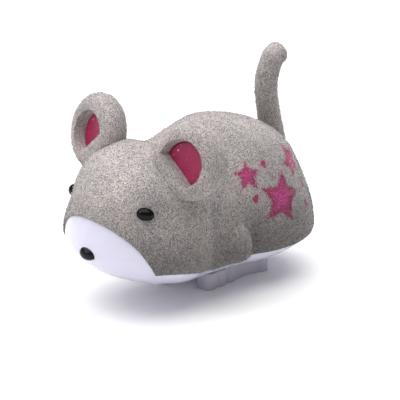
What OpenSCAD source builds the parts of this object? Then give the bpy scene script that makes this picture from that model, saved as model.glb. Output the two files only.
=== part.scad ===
// Clockwork walking mouse. Millimetres, +Z up, soles on Z = 0.
// The mouse faces -Y, +X is its left side, and X = 0 is its middle plane.

/* [Body] */
// Length of the body from muzzle to rump
body_len = 47.5; // [42:0.1:60]
// Distance of the muzzle in front of the origin
nose_reach = 25.3; // [22:0.1:31]
// Width of the body at its widest
body_w = 26.6; // [24:0.1:34]
// Height of the back above the floor
body_top = 28.2; // [26:0.1:36]
// Height of the tray's side, from the underside to the seam
tray_side = 1.9; // [1.7:0.1:3]
// Height of the white muzzle's upper edge
muzzle_z = 17.2; // [13:0.1:21]
// Half angle that the muzzle covers, seen from the body's centre
muzzle_half_angle = 29; // [20:0.5:35]
// Wall of the upper shell
shell_wall = 1.2; // [0.8:0.05:1.6]
// Wall and floor of the tray
tray_wall = 1; // [0.8:0.05:1.4]
// Thickness of the flock pile on the upper shell
flock = 0.3; // [0.1:0.05:0.5]

/* [Ears and face] */
// Radius of an ear
ear_r = 6.4; // [4.5:0.1:7.5]
// Thickness of an ear
ear_t = 5; // [3.6:0.1:5.4]
// Radius of an ear's coloured lining
lining_r = 3.5; // [2.5:0.1:4]
// How far below an ear's middle its hollow reaches
hollow_foot = 1.4; // [0.8:0.1:2.2]
// Thickness of the lining
lining_t = 0.6; // [0.4:0.05:0.9]
// Half the length of an eye bead
eye_long = 1.5; // [1:0.05:2]
// Radius of an eye bead across its length
eye_r = 1.05; // [0.7:0.05:1.4]
// Half the length of the nose bead
nose_long = 1.65; // [1:0.05:2.2]
// Radius of the nose bead across its length
nose_r = 1.15; // [0.8:0.05:1.6]

/* [Tail] */
// Radius of the tail where it plugs in
tail_root_r = 2.35; // [1.8:0.05:2.6]
// Radius of the tail along its length
tail_r = 1.9; // [1.2:0.05:2]
// Height of the tail's tip above the back
tail_rise = 7.7; // [6:0.1:12]

/* [Movement] */
// Gap between the movement's side plates
frame_gap = 4.6; // [4.4:0.1:6]
// Thickness of a side plate
plate_t = 0.7; // [0.6:0.05:1]
// Distance of the crank axle behind the origin
crank_y = 4; // [2:0.1:5]
// Throw of a crank pin
crank_throw = 1.5; // [1:0.05:1.8]
// Tooth size of every gear, pitch diameter over teeth
gear_module = 0.4; // [0.33:0.01:0.42]
// Teeth of a pinion
pinion_teeth = 10; // [10:1:11]
// Teeth of the main gear
main_teeth = 30; // [26:1:31]
// Teeth of the intermediate gear
second_teeth = 26; // [24:1:27]
// Turns of the mainspring's strip
spring_turns = 5.5; // [3:0.5:6.5]
// Thickness of the mainspring's strip
spring_t = 0.22; // [0.15:0.01:0.3]
// Radius of the winding arbor
arbor_r = 0.95; // [0.7:0.05:1]
// Radius of the crank axle
axle_r = 0.7; // [0.5:0.05:0.8]
// Radius of a fixed gear pin
pin_r = 0.5; // [0.35:0.05:0.6]
// Running clearance round a shaft
run_gap = 0.05; // [0.02:0.01:0.08]

/* [Feet] */
// Length of a foot's sole
foot_len = 14.9; // [12:0.1:16]
// Height of a foot's sole block
foot_h = 2.9; // [2:0.1:3.6]
// Clearance between a raised foot and the underside
sole_gap = 0.2; // [0.1:0.05:1]
// Distance of a foot's inner edge from the middle
foot_in = 2.2; // [1.8:0.1:2.6]
// Thickness of a foot's upright
upright_t = 0.7; // [0.5:0.05:0.9]

/* [Winding knob] */
// Length of the knob from its neck to its end
knob_len = 8.3; // [7:0.1:10]
// Width of the knob's wings
knob_w = 9; // [7:0.1:10]
// Thickness of the knob's wings
knob_t = 3; // [2.4:0.1:4]

/* [Fasteners] */
// Radius of a case screw's shank
case_screw_r = 0.6; // [0.4:0.05:0.7]
// Radius of a movement screw's shank
frame_screw_r = 0.45; // [0.3:0.05:0.55]

/* [Hidden] */

fit_gap = 0.02;
half_len = body_len / 2;
half_w = body_w / 2;
straight_half = half_len - half_w;
mid_y = half_len - nose_reach;
widest_lift = 5.6;
widest_tilt = 2.1;
neck_y = -7.5;
paw_y = -2.2;
eye_hollow = [5.6 - nose_reach, 18.2];
shoulder = [-4.6, body_top - 2.8];
haunch = [body_len - nose_reach - 4.2, body_top - 10.2];
arch_bend = 1.15;
arch_steps = 12;
flank_steps = 30;
shell_rows = 12;
tray_rows = 5;

belly_z = foot_h + crank_throw + sole_gap;
seam_z = belly_z + tray_side;
floor_z = belly_z + tray_wall;
plate_in = frame_gap / 2;
plate_out = plate_in + plate_t;
pinion_pitch_r = gear_module * pinion_teeth / 2;
main_pitch_r = gear_module * main_teeth / 2;
second_pitch_r = gear_module * second_teeth / 2;
crank_pin_r = 0.5;
crank_disc_r = crank_throw + crank_pin_r + 0.2;
crank_z = floor_z + max(crank_disc_r, pinion_pitch_r + 0.8 * gear_module) + 0.08;
second_at = [crank_y, crank_z + pinion_pitch_r + second_pitch_r];
arbor_dir = -20.3;
arbor_at = second_at + (pinion_pitch_r + main_pitch_r) * [cos(arbor_dir), sin(arbor_dir)];
star_dir = 190;
star_at = second_at + (pinion_pitch_r + second_pitch_r) * [cos(star_dir), sin(star_dir)];
crank_at = [crank_y, crank_z];

star_teeth = 12;
star_tip_r = 3;
star_root_r = 2.1;
pallet_dir = 195;
pallet_half_span = 3.5 * 180 / star_teeth;
pallet_pin_r = 0.3;
pallet_clear = 0.05;
pallet_gauge = star_tip_r + pallet_pin_r + pallet_clear;
pallet_at = star_at + pallet_gauge / cos(pallet_half_span) * [cos(pallet_dir), sin(pallet_dir)];

second_gear_x = [-2.1, -1.4];
main_gear_x = [1.25, 2.05];
ratchet_x = [0.5, 1.05];
spring_x = [-1.15, 0.35];
star_x = [-1.2, -0.6];
ratchet_teeth = 12;
ratchet_tip_r = 2.5;
ratchet_root_r = 1.95;
click_dir = 100;
click_pivot_r = 4.3;

crank_x = [plate_out + 0.2, plate_out + 0.6];
upright_x = [crank_x[1] + 0.15, crank_x[1] + 0.15 + upright_t];
guide_r = 0.5;
guide_z = crank_z + 4;
guide_eye_r = crank_throw + guide_r + 0.1;
slot_gap = 0.3;
upright_half = 2.1;

pillars = [[-8.8, floor_z + 1.8], [-7.5, floor_z + 13.4], [13, floor_z + 15], [17, floor_z + 1.4]];
pillar_r = 1.1;
mount_lugs = [-7.6, 15.9];
case_posts = [[4.2, -13.6], [7.6, 7.4]];
case_post_r = 1.5;
head_r = 1.2;
head_h = 0.6;
knob_neck = half_w + 0.8;
knob_reach = knob_neck + knob_len;

grey = [0.62, 0.59, 0.57];
white = [0.95, 0.95, 0.98];
magenta = [0.68, 0.11, 0.37];
black = [0.05, 0.05, 0.05];
foot_grey = [0.55, 0.54, 0.58];
steel = [0.7, 0.71, 0.73];
brass = [0.78, 0.62, 0.3];
nylon = [0.9, 0.88, 0.82];

// ---- Body surface ----------------------------------------------------------
// A column is a heading round the body (0 = left side, -90 = muzzle), and a
// rise runs from the underside (-90) over the widest line (0) to the back (90).

function bell(u, w) = exp(-(u / w) * (u / w));

// Distance from the centre to the plan outline, a stadium shrunk by depth d.
function plan_r(heading, d) =
  let(c = abs(cos(heading)), s = abs(sin(heading)), a = half_w - d)
  a * s <= straight_half * c
    ? a / c
    : straight_half * s + sqrt(a * a - straight_half * straight_half * c * c);

low_z = belly_z - 2.3;
function widest_at(heading) = belly_z + widest_lift - widest_tilt * sin(heading);
function fullness(heading) =
  let(s = sin(heading)) 1.98 + 0.56 * s * s - 0.12 * s * abs(s);

// How far the flank stands out at a place: waist, neck, front paw and the hollow
// behind it, then the hollow at the eye, the shoulder and the haunch.
function flank_relief(y, z) =
  -1.9 * bell(y - paw_y, 7) * bell(z - 10, 12)
  - 0.9 * bell(y - neck_y, 2.2) * bell(z - 13, 8)
  + 1.5 * bell(y - paw_y, 2.2) * bell(z - 9, 3.5)
  - 0.7 * bell(y - paw_y - 5.2, 1.6) * bell(z - 9, 5)
  - 3.05 * bell(y - eye_hollow[0], 5.6) * bell(z - eye_hollow[1], 3.5)
  - 2.8 * bell(y - shoulder[0], 4.9) * bell(z - shoulder[1], 6.2)
  - 4.2 * bell(y - haunch[0], 6.2) * bell(z - haunch[1], 5.4);

function skin(heading, rise, d = 0) =
  let(
    power = 2 / fullness(heading),
    wide = widest_at(heading),
    up = rise >= 0,
    r = plan_r(heading, d) * (up ? pow(cos(rise), power) : cos(rise)),
    z = up
      ? wide + (body_top - d - wide) * pow(sin(rise), power)
      : wide + (wide - low_z - d) * sin(rise),
    y = mid_y + r * sin(heading),
    x = r * cos(heading) + cos(heading) * cos(rise) * flank_relief(y, z)
  )
  [x, y, z - 2.7 * bell(y - neck_y, 3.7) * pow(max(sin(rise), 0), 2)];

// The rise at which a column of the surface reaches height z.
function rise_at(heading, z, d) =
  let(wide = widest_at(heading))
  z >= wide
    ? asin(pow((z - wide) / (body_top - d - wide), fullness(heading) / 2))
    : -asin((wide - z) / (wide - low_z - d));

// Height of the seam at a heading on the left side: high at the muzzle's corner,
// lowest at the paw.
function seam_at(heading) =
  seam_z + 2 * bell(heading + 57, 20) - 0.5 * bell(heading + 20, 10) + 0.6 * bell(heading - 60, 45);

// Columns as [heading, seam height]: an arch over the muzzle, then the flanks.
arch_end = -90 + muzzle_half_angle;
columns = concat(
  [for (i = [0:arch_steps - 1])
    let(a = -90 + 180 * i / arch_steps, low = seam_at(arch_end))
    [-90 + muzzle_half_angle * sin(a), low + (muzzle_z - low) * pow(max(cos(a), 0), arch_bend)]],
  [for (i = [0:flank_steps - 1])
    let(a = arch_end + (180 - 2 * arch_end) * i / flank_steps)
    [a, seam_at(a > 90 ? 180 - a : a)]]
);

// Rings of the surface at depth d, from the seam up to the back.
function upper_rings(d) =
  [for (j = [0:shell_rows - 1])
    [for (c = columns)
      let(low = rise_at(c[0], c[1] + fit_gap, d))
      skin(c[0], low + (88 - low) * j / (shell_rows - 1), d)]];

// Rings of the surface at depth d, from the seam down to height z.
function lower_rings(d, z) =
  [for (j = [0:tray_rows - 1])
    [for (c = columns)
      let(
        high = rise_at(c[0], c[1] - fit_gap, d),
        low = rise_at(c[0], z, d),
        p = skin(c[0], high + (low - high) * j / (tray_rows - 1), d)
      )
      j == tray_rows - 1 ? [p[0], p[1], z] : p]];

function backwards(list) = [for (i = [len(list) - 1:-1:0]) list[i]];
function centre_of(ring) = [for (k = [0:2]) let(v = [for (p = ring) p[k]]) sum(v) / len(v)];
function sum(v, i = 0) = i == len(v) ? 0 : v[i] + sum(v, i + 1);

// A closed solid through rings of equal count, each end closed to a point.
module lofted(rings, first, last) {
  n = len(rings[0]);
  m = len(rings);
  points = concat([for (ring = rings) each ring], [first, last]);
  sides = [for (j = [0:m - 2]) for (i = [0:n - 1])
    let(a = j * n + i, b = j * n + (i + 1) % n)
    each [[a, b, b + n], [a, b + n, a + n]]];
  ends = [for (i = [0:n - 1])
    let(k = (i + 1) % n, base = (m - 1) * n)
    each [[i, n * m, k], [base + k, n * m + 1, base + i]]];
  polyhedron(points = points, faces = concat(sides, ends));
}

// ---- Small helpers ---------------------------------------------------------

// A flat shape drawn in Y and Z, made solid from x[0] to x[1].
module along_x(x) {
  translate([x[0], 0, 0]) rotate([90, 0, 90]) linear_extrude(x[1] - x[0]) children();
}

module rod_x(at, r, x) {
  translate([x[0], at[0], at[1]]) rotate([0, 90, 0]) cylinder(r = r, h = x[1] - x[0], $fn = 48);
}

module both_sides() {
  children();
  mirror([1, 0, 0]) children();
}

function unit(v) = v / norm(v);
function polar(r, a) = r * [cos(a), sin(a)];
function arc(centre, r, from, to, steps) =
  [for (i = [0:steps]) centre + polar(r, from + (to - from) * i / steps)];

// Half an oval, for turning round the bead's long axis.
function half_oval(long, r) = [for (i = [0:16]) [r * sin(180 * i / 16), -long * cos(180 * i / 16)]];

module bead(long, r) {
  rotate_extrude($fn = 48) polygon(half_oval(long, r));
}

// Screw with its head below z and its shank above, with a slot in the head.
module screw_up(x, y, z, r, reach) {
  translate([x, y, z]) {
    cylinder(r = r, h = reach, $fn = 24);
    difference() {
      translate([0, 0, -head_h]) cylinder(r = head_r - fit_gap, h = head_h, $fn = 32);
      translate([-head_r, -0.15, -head_h]) cube([2 * head_r, 0.3, 0.3]);
      translate([-0.15, -head_r, -head_h]) cube([0.3, 2 * head_r, 0.3]);
    }
  }
}

// ---- Gears -----------------------------------------------------------------

pressure_angle = 25;
addendum = 0.8;
dedendum = 1.1;
tooth_play = 0.045;
flank_points = 4;

function involute(a) = tan(a) * 180 / PI - a;

// Half the angle that a tooth fills at radius r.
function tooth_half(teeth, r) =
  let(
    pitch_r = gear_module * teeth / 2,
    base_r = pitch_r * cos(pressure_angle),
    play = tooth_play / pitch_r * 180 / PI
  )
  90 / teeth - play + involute(pressure_angle) - involute(acos(min(1, base_r / r)));

// Outline of a gear with a tooth centred on the heading called phase.
function gear_outline(teeth, phase) =
  let(
    pitch_r = gear_module * teeth / 2,
    base_r = pitch_r * cos(pressure_angle),
    root_r = pitch_r - dedendum * gear_module,
    tip_r = pitch_r + addendum * gear_module,
    start_r = max(base_r, root_r),
    flank = [for (i = [0:flank_points]) start_r + (tip_r - start_r) * i / flank_points],
    radii = start_r > root_r + 0.01 ? concat([root_r], flank) : flank
  )
  [for (t = [0:teeth - 1])
    let(a = phase + 360 * t / teeth)
    each concat(
      [for (r = radii) polar(r, a - tooth_half(teeth, max(r, start_r)))],
      [for (r = backwards(radii)) polar(r, a + tooth_half(teeth, max(r, start_r)))]
    )];

// The phase that meshes a gear with one of known phase lying at a heading.
function meshed_phase(teeth_1, phase_1, heading, teeth_2) =
  heading + 180 - (phase_1 - heading) * teeth_1 / teeth_2 + 180 / teeth_2;

second_phase = -90;
crank_phase = meshed_phase(second_teeth, second_phase, -90, pinion_teeth);
star_phase = meshed_phase(second_teeth, second_phase, star_dir, pinion_teeth);
second_pinion_phase = arbor_dir;
main_phase = meshed_phase(pinion_teeth, second_pinion_phase, arbor_dir, main_teeth);

module gear_at(at, teeth, phase, x) {
  along_x(x) translate(at) polygon(gear_outline(teeth, phase));
}

// ---- Case ------------------------------------------------------------------

function ear_anchor() = skin(-52.5, 48.5) - [0, 0, 0.5];
ear_up = unit([6.3, 3.2, 7.3]);
ear_side = unit(cross(ear_up, [0.3, -0.87, 0.3]));
ear_face = cross(ear_side, ear_up);
ear_lift = ear_r * 0.5;
ear_cut = 1.25;
ear_forward = 0.3;
hollow_drop = 0.6;

// Stands its children on the head, local +Y along the ear, +Z out of its face.
module on_head() {
  c = ear_anchor() + ear_lift * ear_up + ear_forward * ear_face;
  multmatrix([
    [ear_side[0], ear_up[0], ear_face[0], c[0]],
    [ear_side[1], ear_up[1], ear_face[1], c[1]],
    [ear_side[2], ear_up[2], ear_face[2], c[2]],
    [0, 0, 0, 1]
  ]) children();
}

recess = 2.4;

// An ear's hollow seen from its front: a round with its foot cut straight.
module hollow_outline(r, foot) {
  polygon(arc([0, 0], r, -asin(foot / r), 180 + asin(foot / r), 48));
}

module ear_solid() {
  rim = ear_t / 2;
  front = 0.88 * rim;
  profile = concat([[0, -rim]], arc([ear_r - rim, 0], rim, -90, 70, 12), [[0, front]]);
  on_head() difference() {
    rotate_extrude($fn = 64) polygon(profile);
    translate([0, -hollow_drop, rim - recess]) linear_extrude(ear_t)
      hollow_outline(lining_r + fit_gap, hollow_foot + fit_gap);
    translate([-ear_r, -2 * ear_r - ear_lift - ear_cut, -ear_t])
      cube([2 * ear_r, 2 * ear_r, 2 * ear_t]);
  }
}

module ear_socket() {
  on_head() translate([0, 0, -ear_t / 2 - fit_gap])
    cylinder(r = ear_r + fit_gap, h = ear_t + 2 * fit_gap, $fn = 64);
}

module lining_solid() {
  on_head() translate([0, -hollow_drop, ear_t / 2 - recess]) linear_extrude(lining_t)
    hollow_outline(lining_r, hollow_foot);
}

tail_at = skin(90, 41);
tail_tip = [0, tail_at[1] + 2.6, body_top + tail_rise];
// Places along the tail's middle line, from the plug to the tip.
tail_line = [
  [0, tail_at[1] + 0.6, tail_at[2] - 3],
  [0, tail_at[1] + 0.1, tail_at[2] + 1],
  [0, tail_at[1] - 1, tail_at[2] + (tail_tip[2] - tail_at[2]) * 0.58],
  [0, tail_at[1] + 0.3, tail_at[2] + (tail_tip[2] - tail_at[2]) * 0.9],
  tail_tip
];
tail_rings = 22;
tail_sides = 16;

// A smooth curve through the places of a list, at u from 0 to 1.
function through(list, u) =
  let(
    last = len(list) - 1,
    at = max(0, min(floor(u * last), last - 1)),
    t = u * last - at,
    a = list[max(at - 1, 0)], b = list[at], c = list[at + 1], d = list[min(at + 2, last)]
  )
  0.5 * (2 * b + (c - a) * t + (2 * a - 5 * b + 4 * c - d) * t * t
    + (3 * b - a - 3 * c + d) * t * t * t);

function tail_ring(centre, ahead, r) =
  let(f = ahead / norm(ahead), side = [1, 0, 0], up = cross(f, side))
  [for (i = [0:tail_sides - 1])
    centre + r * (cos(360 * i / tail_sides) * side + sin(360 * i / tail_sides) * up)];

module tail_socket() {
  foot = tail_line[0];
  lean = atan2(tail_line[1][1] - foot[1], tail_line[1][2] - foot[2]);
  translate([0, foot[1], foot[2] - 1]) rotate([-lean, 0, 0])
    cylinder(r = tail_root_r + 0.12, h = 6, $fn = 48);
}

function eye_anchor() = skin(-62.5, 19.5, 0.1);
eye_tilt = 10;
eye_turn = 36;

module eye_place() {
  translate(eye_anchor()) rotate([0, 0, eye_turn]) rotate([0, 90 + eye_tilt, 0]) children();
}

module nose_place() {
  translate(skin(-90, -6, flock) + [0, 0.3, 0]) rotate([0, 90, 0]) children();
}

// Screw posts under the roof, kept inside the shell's own outline.
module case_post_solids() {
  for (p = case_posts) both_sides() translate([p[0], p[1], post_foot(p)])
    cylinder(r = case_post_r, h = post_top(p) - post_foot(p), $fn = 32);
}

// Height of the shell's middle surface over a place, found by halving.
function surface_z(heading, r, d, lo = 0, hi = 89, n = 24) =
  let(mid = (lo + hi) / 2, p = skin(heading, mid, d))
  n == 0 ? p[2]
    : norm([p[0], p[1] - mid_y]) > r
      ? surface_z(heading, r, d, mid, hi, n - 1)
      : surface_z(heading, r, d, lo, mid, n - 1);

// Height of a post's foot, clear of the tray's curved inside at the post's outer edge.
function post_foot(p) =
  let(
    heading = atan2(p[1] - mid_y, p[0]),
    d = flock + tray_wall,
    wide = widest_at(heading),
    share = (norm([p[0], p[1] - mid_y]) + case_post_r + 0.1) / plan_r(heading, d)
  )
  max(floor_z, wide - (wide - low_z - d) * sqrt(1 - min(share, 1) * min(share, 1)) + 0.1) + fit_gap;

function post_top(p) =
  surface_z(atan2(p[1] - mid_y, p[0]), norm([p[0], p[1] - mid_y]) + case_post_r * 0.8,
    shell_wall * 0.6);

module upper_shell() {
  outer = upper_rings(0);
  inner = upper_rings(shell_wall);
  color(grey) difference() {
    union() {
      lofted(concat(backwards(outer), inner), skin(0, 90), skin(0, 90, shell_wall));
      case_post_solids();
    }
    both_sides() ear_socket();
    both_sides() eye_place() bead(eye_long + fit_gap, eye_r + fit_gap);
    tail_socket();
    rod_x(arbor_at, arbor_r + 0.4, [-half_w - 5, -half_w / 2]);
    for (p = case_posts) both_sides()
      translate([p[0], p[1], floor_z - 1]) cylinder(r = case_screw_r + fit_gap, h = 6, $fn = 24);
  }
}

module base_tray() {
  outer = lower_rings(flock, belly_z);
  inner = lower_rings(flock + tray_wall, floor_z);
  slot_from = crank_y - crank_throw - upright_half - slot_gap;
  slot_len = 2 * (crank_throw + upright_half + slot_gap);
  color(white) difference() {
    lofted(concat(backwards(inner), outer), [0, mid_y, floor_z], [0, mid_y, belly_z]);
    both_sides() translate([upright_x[0] - slot_gap, slot_from, belly_z - 1])
      cube([upright_t + 2 * slot_gap, slot_len, tray_wall + 2]);
    for (p = case_posts) both_sides() screw_hole(p[0], p[1], case_screw_r);
    for (y = mount_lugs) screw_hole(0, y, frame_screw_r);
    nose_place() bead(nose_long + fit_gap, nose_r + fit_gap);
  }
}

// A hole through the tray's floor with a seat for the screw's head.
module screw_hole(x, y, r) {
  translate([x, y, belly_z - 1]) cylinder(r = head_r + fit_gap, h = 1 + head_h, $fn = 32);
  translate([x, y, belly_z]) cylinder(r = r + 0.1, h = tray_wall + 1, $fn = 24);
}

module left_ear() {
  color(grey) ear_solid();
}

module right_ear() {
  color(grey) mirror([1, 0, 0]) ear_solid();
}

module left_ear_lining() {
  color(magenta) lining_solid();
}

module right_ear_lining() {
  color(magenta) mirror([1, 0, 0]) lining_solid();
}

module tail() {
  rings = [for (i = [0:tail_rings])
    let(
      u = i / tail_rings,
      c = through(tail_line, u),
      ahead = through(tail_line, min(u + 0.01, 1)) - through(tail_line, min(u + 0.01, 1) - 0.02),
      root = max(0, 1 - u / 0.35),
      tip = sqrt(max(0.04, 1 - pow(max(0, (u - 0.9) / 0.1), 2)))
    )
    tail_ring(c, ahead, (tail_r + (tail_root_r - tail_r) * min(1, root * 1.4)) * tip)];
  color(grey) lofted(backwards(rings), centre_of(rings[tail_rings]), centre_of(rings[0]));
}

module left_eye() {
  color(black) eye_place() bead(eye_long, eye_r);
}

module right_eye() {
  color(black) mirror([1, 0, 0]) eye_place() bead(eye_long, eye_r);
}

module nose() {
  color(black) nose_place() bead(nose_long, nose_r);
}

module case_screws() {
  color(steel) for (p = case_posts) for (side = [-1, 1])
    screw_up(side * p[0], p[1], belly_z + head_h, case_screw_r, 5.4 - head_h);
}

// ---- Movement --------------------------------------------------------------

// Outline shared by both side plates, in Y and Z.
plate_outline = [
  [-10, floor_z], [14, floor_z], [18.4, floor_z + 0.6], [18.4, floor_z + 9.9],
  [14.6, floor_z + 16.3], [-6, floor_z + 16.3], [-9.4, floor_z + 13.9], [-10.2, floor_z + 9.4]
];

module plate(x) {
  difference() {
    along_x(x) polygon(plate_outline);
    rod_x(arbor_at, arbor_r + run_gap, [x[0] - 1, x[1] + 1]);
    rod_x(crank_at, axle_r + run_gap, [x[0] - 1, x[1] + 1]);
    for (p = [second_at, star_at, pallet_at]) rod_x(p, pin_r, [x[0] - 1, x[1] + 1]);
  }
}

lug_h = [1.8, 1.17];
lug_half = 1;

module movement_frame() {
  color(nylon) difference() {
    union() {
      plate([plate_in, plate_out]);
      for (p = pillars) rod_x(p, pillar_r, [-plate_in, plate_in]);
      for (i = [0, 1]) translate([-plate_in + 0.1, mount_lugs[i] - lug_half, floor_z])
        cube([2 * plate_in - 0.1, 2 * lug_half, lug_h[i]]);
      rod_x([crank_y, guide_z], guide_r, [plate_out, upright_x[1] + 0.1]);
    }
    for (p = pillars) rod_x(p, frame_screw_r + fit_gap, [-plate_in - 1, plate_in - 1]);
    for (y = mount_lugs) translate([0, y, floor_z - 1])
      cylinder(r = frame_screw_r + fit_gap, h = 1 + lug_h[1], $fn = 24);
  }
}

module movement_cover() {
  color(nylon) difference() {
    union() {
      plate([-plate_out, -plate_in]);
      rod_x([crank_y, guide_z], guide_r, [-upright_x[1] - 0.1, -plate_out]);
    }
    for (p = pillars) rod_x(p, frame_screw_r + 0.1, [-plate_out - 1, -plate_in + 1]);
  }
}

module movement_screws() {
  color(steel) for (p = pillars)
    translate([-plate_out, p[0], p[1]]) rotate([0, 90, 0]) screw_up(0, 0, 0, frame_screw_r, 4);
}

module mounting_screws() {
  color(steel) for (y = mount_lugs)
    screw_up(0, y, belly_z + head_h, frame_screw_r, tray_wall - head_h + lug_h[1] - 0.1);
}

// Spiral strip from the arbor out to the rear upper pillar.
spring_in_r = arbor_r + 0.15;
spring_out_r = 4.9;
spring_steps = 24 * spring_turns;
spring_end_dir = atan2(pillars[2][1] - arbor_at[1], pillars[2][0] - arbor_at[0]);

function coil(offset) =
  [for (i = [0:spring_steps])
    let(u = i / spring_steps)
    arbor_at + polar(spring_in_r + (spring_out_r - spring_in_r) * u + offset,
      spring_end_dir - 360 * spring_turns * (1 - u))];

module mainspring() {
  hook = pillars[2] - arbor_at;
  reach = norm(hook) - pillar_r - fit_gap;
  sideways = polar(spring_t, spring_end_dir - 90);
  end_in = arbor_at + polar(reach, spring_end_dir);
  color(steel) along_x(spring_x)
    polygon(concat(coil(0), [end_in, end_in + sideways],
      [arbor_at + polar(spring_out_r + spring_t, spring_end_dir) + sideways],
      backwards([for (i = [0:spring_steps - 1]) coil(spring_t)[i]])));
}

module winding_arbor() {
  color(steel) rod_x(arbor_at, arbor_r, [-knob_reach + 2, plate_out + 0.4]);
}

module winding_knob() {
  from = -knob_neck;
  to = -knob_reach;
  wing = knob_w / 2;
  round_r = 1.6;
  outline = concat(
    [[from, -2], [from - 2.2, -2]],
    arc([from - 2.2 - round_r, -wing + round_r], round_r, -45, -90, 4),
    arc([to + round_r, -wing + round_r], round_r, -90, -180, 6),
    arc([to + round_r, wing - round_r], round_r, 180, 90, 6),
    arc([from - 2.2 - round_r, wing - round_r], round_r, 90, 45, 4),
    [[from - 2.2, 2], [from, 2]]
  );
  color(white) difference() {
    translate([0, arbor_at[0], arbor_at[1] - knob_t / 2]) linear_extrude(knob_t) polygon(outline);
    rod_x(arbor_at, arbor_r + 0.01, [to + 2 - 0.01, from + 1]);
  }
}

module ratchet_wheel() {
  pitch = 360 / ratchet_teeth;
  teeth = [for (i = [0:ratchet_teeth - 1])
    each [polar(ratchet_root_r, click_dir - pitch * i), polar(ratchet_tip_r, click_dir - pitch * i)]];
  color(steel) difference() {
    along_x(ratchet_x) translate(arbor_at) polygon(teeth);
    rod_x(arbor_at, arbor_r, [ratchet_x[0] - 1, ratchet_x[1] + 1]);
  }
}

click_pivot = arbor_at + polar(click_pivot_r, click_dir + 50);
click_pin_r = 0.35;

module click() {
  tip = arbor_at + polar(ratchet_root_r + 0.08, click_dir + 3);
  crown = arbor_at + polar(ratchet_tip_r + 0.15, click_dir + 2.4);
  heel = arbor_at + polar(ratchet_tip_r + 0.45, click_dir + 14);
  toe = arbor_at + polar(ratchet_root_r + 0.42, click_dir + 9);
  out = polar(0.65, click_dir + 50);
  color(brass) difference() {
    union() {
      along_x(ratchet_x) polygon([tip, crown, heel, click_pivot + out, click_pivot - out, toe]);
      rod_x(click_pivot, 0.72, ratchet_x);
    }
    rod_x(click_pivot, click_pin_r + run_gap, [ratchet_x[0] - 1, ratchet_x[1] + 1]);
  }
}

module main_gear() {
  color(nylon) difference() {
    union() {
      gear_at(arbor_at, main_teeth, main_phase, main_gear_x);
      rod_x(click_pivot, click_pin_r, [ratchet_x[0] - 0.05, main_gear_x[0]]);
    }
    rod_x(arbor_at, arbor_r + run_gap, [main_gear_x[0] - 1, main_gear_x[1] + 1]);
    for (i = [0:4])
      rod_x(arbor_at + polar(main_pitch_r * 0.6, 72 * i + 86), main_pitch_r * 0.12,
        [main_gear_x[0] - 1, main_gear_x[1] + 1]);
  }
}

module second_gear() {
  color(nylon) difference() {
    union() {
      gear_at(second_at, second_teeth, second_phase, second_gear_x);
      rod_x(second_at, 1.25, [second_gear_x[1], main_gear_x[0] - 0.1]);
      gear_at(second_at, pinion_teeth, second_pinion_phase,
        [main_gear_x[0] - 0.1, plate_in - 0.15]);
    }
    rod_x(second_at, pin_r + run_gap, [-plate_in, plate_in]);
  }
}

module second_gear_pin() {
  color(steel) rod_x(second_at, pin_r, [-plate_out, plate_out]);
}

module crank_axle() {
  color(steel) rod_x(crank_at, axle_r, [-crank_x[1], crank_x[1]]);
}

module crank_pinion() {
  color(nylon) difference() {
    gear_at(crank_at, pinion_teeth, crank_phase, [-plate_in + 0.15, second_gear_x[1] + 0.05]);
    rod_x(crank_at, axle_r, [-plate_in, plate_in]);
  }
}

// A crank disc with its pin, set back for the left foot and forward for the right.
module crank_disc(throw) {
  at = crank_at + [throw, 0];
  color(nylon) difference() {
    union() {
      rod_x(crank_at, crank_disc_r, crank_x);
      rod_x(at, crank_pin_r, [crank_x[1], upright_x[1] + 0.06]);
      rod_x(at, crank_pin_r + 0.3, [upright_x[1] + 0.06, upright_x[1] + 0.36]);
    }
    rod_x(crank_at, axle_r, [crank_x[0] - 1, crank_x[1]]);
  }
}

module left_crank() {
  crank_disc(crank_throw);
}

module right_crank() {
  mirror([1, 0, 0]) crank_disc(-crank_throw);
}

// Sole outline: toe lobe, two small lobes, waist and heel, toe at Y = 0.
function sole_outline() = concat(
  [[foot_in, 0.3], [foot_in + 0.4, 0]],
  arc([3.7, 1.5], 1.5, -90, -10, 5),
  arc([3.6, 3.6], 1.5, -35, 35, 5),
  arc([3.5, 6.1], 1.4, -40, 40, 5),
  [[4.35, 8.2], [4.2, 9.6], [4.35, 10.7]],
  arc([3.9, foot_len - 1.3], 1.3, -50, 90, 6),
  [[foot_in + 0.5, foot_len], [foot_in, foot_len - 0.5]]
);

// A foot hung on its crank pin; shift is where the pin stands at rest.
module foot(shift) {
  pin = crank_at + [shift, 0];
  toe_y = crank_y - 8.05 + shift;
  eye = [crank_y + shift, guide_z];
  side = upright_half;
  ring = guide_eye_r + 0.75;
  color(foot_grey) difference() {
    union() {
      translate([0, toe_y, 0]) linear_extrude(foot_h) polygon(sole_outline());
      along_x(upright_x) polygon(concat(
        [[pin[0] - side, foot_h - 0.5], [pin[0] + side, foot_h - 0.5],
          [pin[0] + side, guide_z - 2]],
        arc(eye, ring, -30, 210, 16),
        [[pin[0] - side, guide_z - 2]]
      ));
    }
    rod_x(pin, crank_pin_r + run_gap, [upright_x[0] - 1, upright_x[1] + 1]);
    rod_x(eye, guide_eye_r, [upright_x[0] - 1, upright_x[1] + 1]);
  }
}

module left_foot() {
  foot(crank_throw);
}

module right_foot() {
  mirror([1, 0, 0]) foot(-crank_throw);
}

// The star wheel turns a tooth gap towards the upper pallet pin at rest.
function star_tooth_phase() = pallet_dir - pallet_half_span + 180 / star_teeth;

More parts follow.
